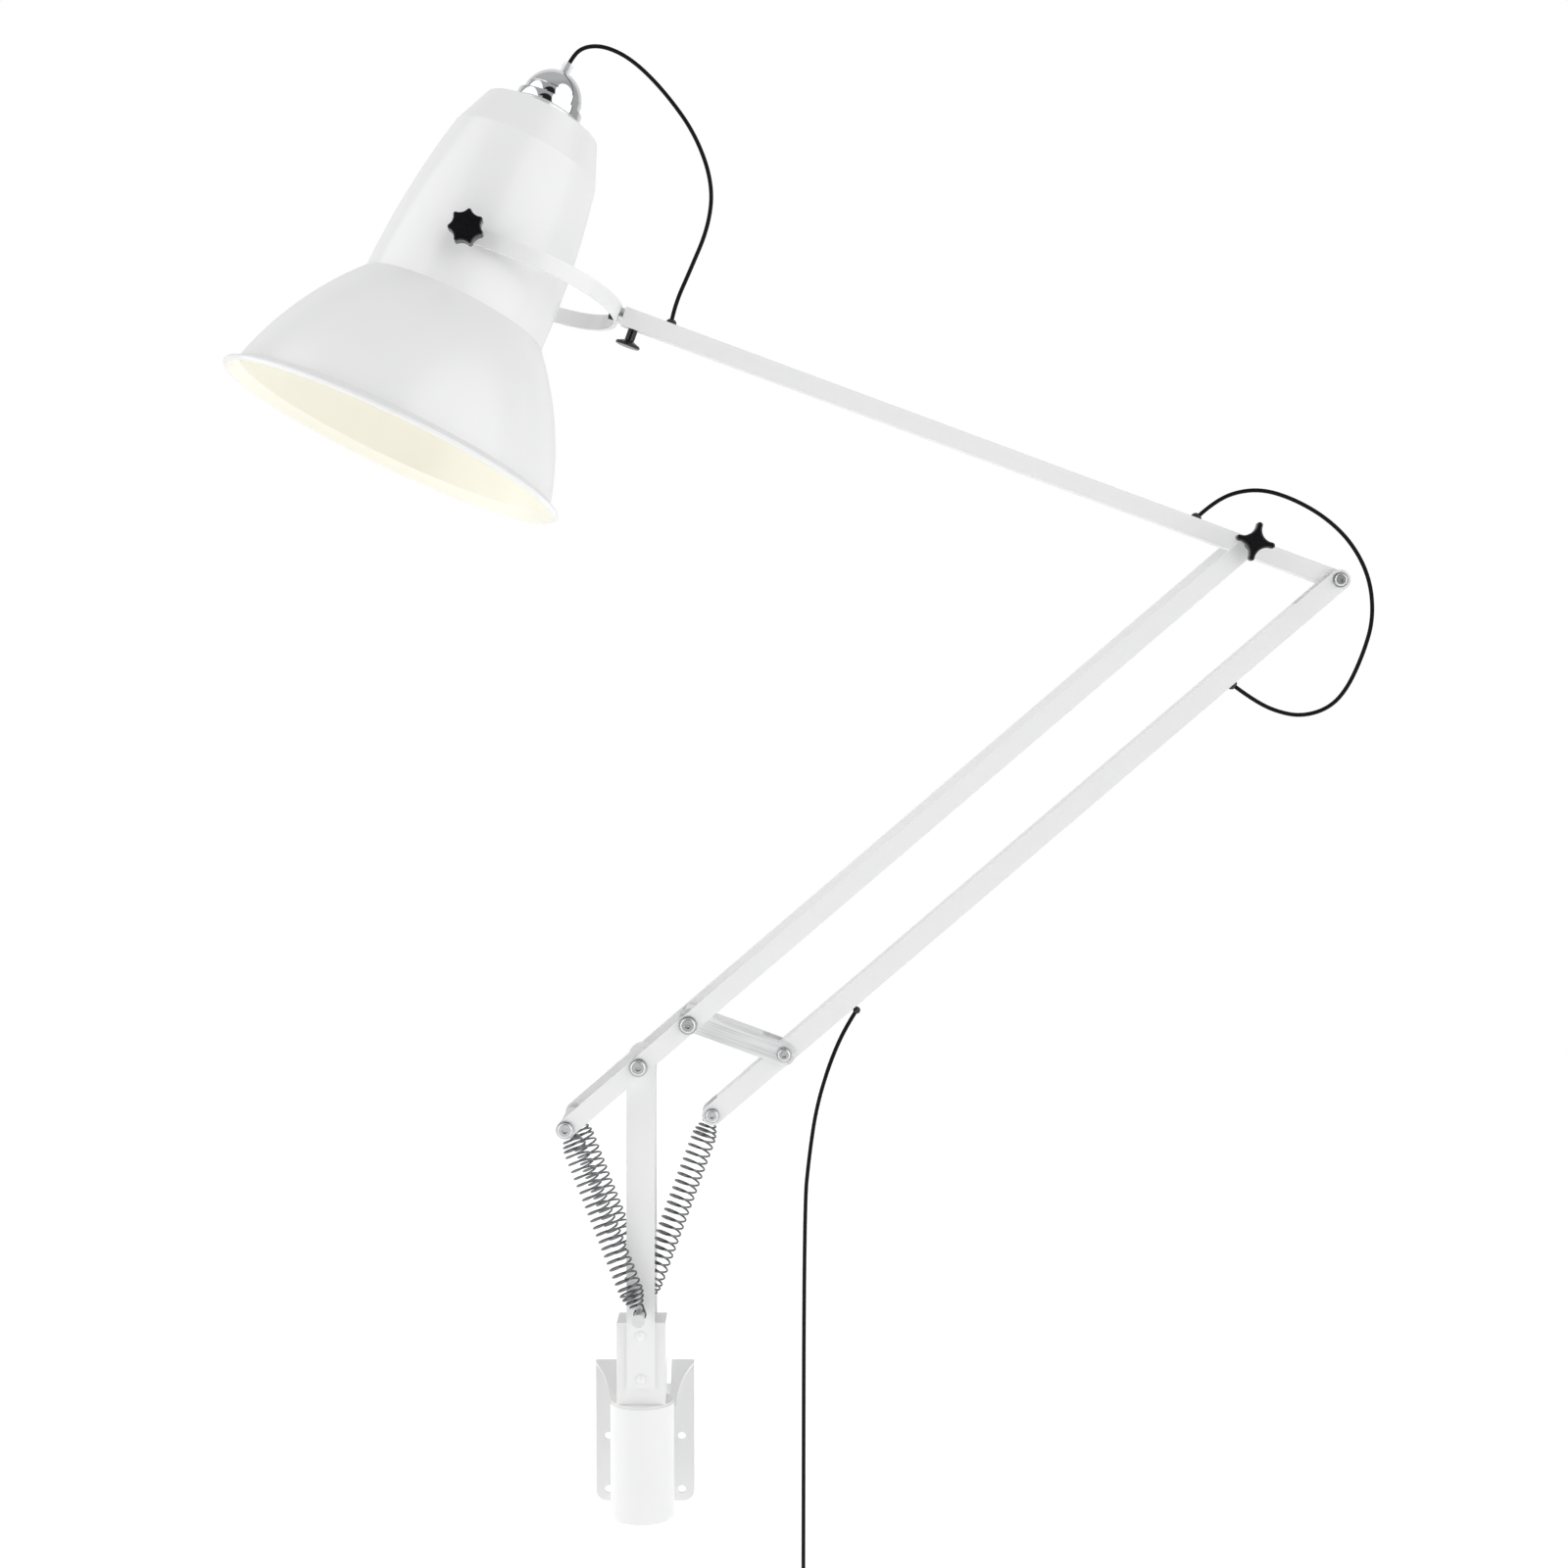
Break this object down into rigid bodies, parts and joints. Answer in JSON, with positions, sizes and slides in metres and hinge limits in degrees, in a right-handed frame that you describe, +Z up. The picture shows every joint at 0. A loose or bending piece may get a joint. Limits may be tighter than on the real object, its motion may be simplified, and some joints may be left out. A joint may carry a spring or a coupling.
{
  "type": "articulating wall lamp",
  "caption": "Wall mounted task lamp: a swivelling post carries a spring balanced folding arm, and a yoke at its end holds a tilting bell shade",
  "frame": {"origin": "middle of the wall plate's back face, on the wall", "axes": "+Z up, +Y into the wall, +X to the right as seen from the room"},
  "size_m": [1.5401, 0.4794, 2.2298],
  "materials": {
    "white_enamel": "gloss",
    "white_spun": "gloss white paint on spun aluminium",
    "satin_aluminium": "satin",
    "chrome": "polished",
    "bright_steel": "bright zinc",
    "black_plastic": "satin black",
    "black_rubber": "matt",
    "pale_plastic": "matt",
    "cord_black": "matt"
  },
  "bodies": {
    "bracket": {"wall_plate": "white_enamel", "bracket_web": "white_enamel", "bracket_rib": "white_enamel", "socket_tube": "white_enamel", "upper_bush": "pale_plastic", "lower_bush": "pale_plastic", "socket_cap": "black_plastic"},
    "post": {"spigot_block": "white_enamel", "post_plate_near": "white_enamel", "post_plate_far": "white_enamel", "plate_screws": "white_enamel", "post_spacer": "bright_steel", "base_pin": "bright_steel", "spring_near": "bright_steel", "spring_far": "bright_steel", "spring_mid": "bright_steel"},
    "lower_arm": {"arm_bar_near": "white_enamel", "arm_bar_far": "white_enamel", "pivot_bolt": "bright_steel", "tail_bolt": "bright_steel", "link_bolt": "bright_steel", "elbow_bolt": "bright_steel", "pivot_spacers": "bright_steel", "link_spacers": "bright_steel", "elbow_spacers": "bright_steel", "tail_spacers": "bright_steel"},
    "elbow_clamp": {"elbow_knob": "black_plastic"},
    "link": {"link_channel": "satin_aluminium", "link_pin": "bright_steel"},
    "upper_arm": {"upper_arm_tube": "white_enamel", "arm_end_boss": "satin_aluminium", "arm_grommets": "black_rubber", "elbow_cord": "cord_black", "shade_cord_lower": "cord_black"},
    "rear_link_bar": {"rear_bar": "white_enamel", "rear_bar_tail_pin": "bright_steel", "elbow_tail_pin": "bright_steel", "rear_bar_grommets": "black_rubber"},
    "mains_lead": {"mains_knuckle": "black_rubber", "mains_cord": "cord_black", "cord_coil": "cord_black", "cord_tie": "black_rubber", "mains_plug": "black_plastic"},
    "swivel_clamp": {"thumb_knob": "black_plastic"},
    "yoke": {"yoke_band": "white_enamel", "swivel_pin": "bright_steel", "swivel_nut": "black_plastic", "shade_cord_upper": "cord_black"},
    "shade": {"shade_shell": "white_spun", "lamp_cap": "chrome", "cord_gland": "chrome", "lamp_holder": "pale_plastic", "shade_studs": "bright_steel", "shade_washers": "satin_aluminium"},
    "shade_clamp_near": {"shade_knob_near": "black_plastic"},
    "shade_clamp_far": {"shade_knob_far": "black_plastic"}
  },
  "joints": [
    {"name": "post_swivel", "type": "hinge", "parent": "bracket", "child": "post", "pos_m": [0, -0.078, 0], "axis": [0, 0, 1], "range_deg": [-180, 0]},
    {"name": "arm_lift", "type": "hinge", "parent": "post", "child": "lower_arm", "pos_m": [0, -0.078, 0.5317], "axis": [0, -1, 0], "range_deg": [-25, 23], "deforming": ["spring_near", "spring_far", "spring_mid"]},
    {"name": "elbow_bend", "type": "hinge", "parent": "lower_arm", "child": "upper_arm", "pos_m": [0.81166, -0.078, 1.22738], "axis": [0, -1, 0], "range_deg": [-60, 35], "deforming": ["spring_mid", "elbow_cord"]},
    {"name": "rear_bar_pivot", "type": "hinge", "parent": "upper_arm", "child": "rear_link_bar", "pos_m": [0.9393, -0.078, 1.18042], "axis": [0, -1, 0], "range_deg": [-36, 61], "deforming": ["elbow_cord"]},
    {"name": "link_pivot", "type": "hinge", "parent": "lower_arm", "child": "link", "pos_m": [0.06606, -0.078, 0.58832], "axis": [0, -1, 0], "range_deg": [-61, 36]},
    {"name": "mains_hang", "type": "hinge", "parent": "rear_link_bar", "child": "mains_lead", "pos_m": [0.29227, -0.078, 0.59845], "axis": [0, -1, 0], "range_deg": [-24, 26]},
    {"name": "yoke_swivel", "type": "hinge", "parent": "upper_arm", "child": "yoke", "pos_m": [-0.02923, -0.078, 1.53676], "axis": [0.9385, 0, -0.3453], "range_deg": [-75, 75], "deforming": ["shade_cord_lower", "shade_cord_upper"]},
    {"name": "shade_tilt", "type": "hinge", "parent": "yoke", "child": "shade", "pos_m": [-0.21974, -0.078, 1.60686], "axis": [-0.0421, 0.9925, -0.1144], "range_deg": [-30, 50], "deforming": ["shade_cord_upper"]},
    {"name": "elbow_knob_turn", "type": "hinge", "parent": "lower_arm", "child": "elbow_clamp", "pos_m": [0.81166, -0.078, 1.22738], "axis": [0, -1, 0], "range_deg": [0, 360]},
    {"name": "thumb_knob_turn", "type": "hinge", "parent": "upper_arm", "child": "swivel_clamp", "pos_m": [-0.00483, -0.078, 1.52779], "axis": [-0.3453, 0, -0.9385], "range_deg": [0, 360]},
    {"name": "shade_knob_near_turn", "type": "hinge", "parent": "shade", "child": "shade_clamp_near", "pos_m": [-0.21974, -0.078, 1.60686], "axis": [0.0421, -0.9925, 0.1144], "range_deg": [0, 360]},
    {"name": "shade_knob_far_turn", "type": "hinge", "parent": "shade", "child": "shade_clamp_far", "pos_m": [-0.21974, -0.078, 1.60686], "axis": [-0.0421, 0.9925, -0.1144], "range_deg": [0, 360]}
  ],
  "couplings": [
    {"joint": "rear_bar_pivot", "follows": "elbow_bend", "ratio": -1},
    {"joint": "link_pivot", "follows": "elbow_bend", "ratio": 1},
    {"joint": "mains_hang", "follows": "arm_lift", "ratio": -1}
  ]
}
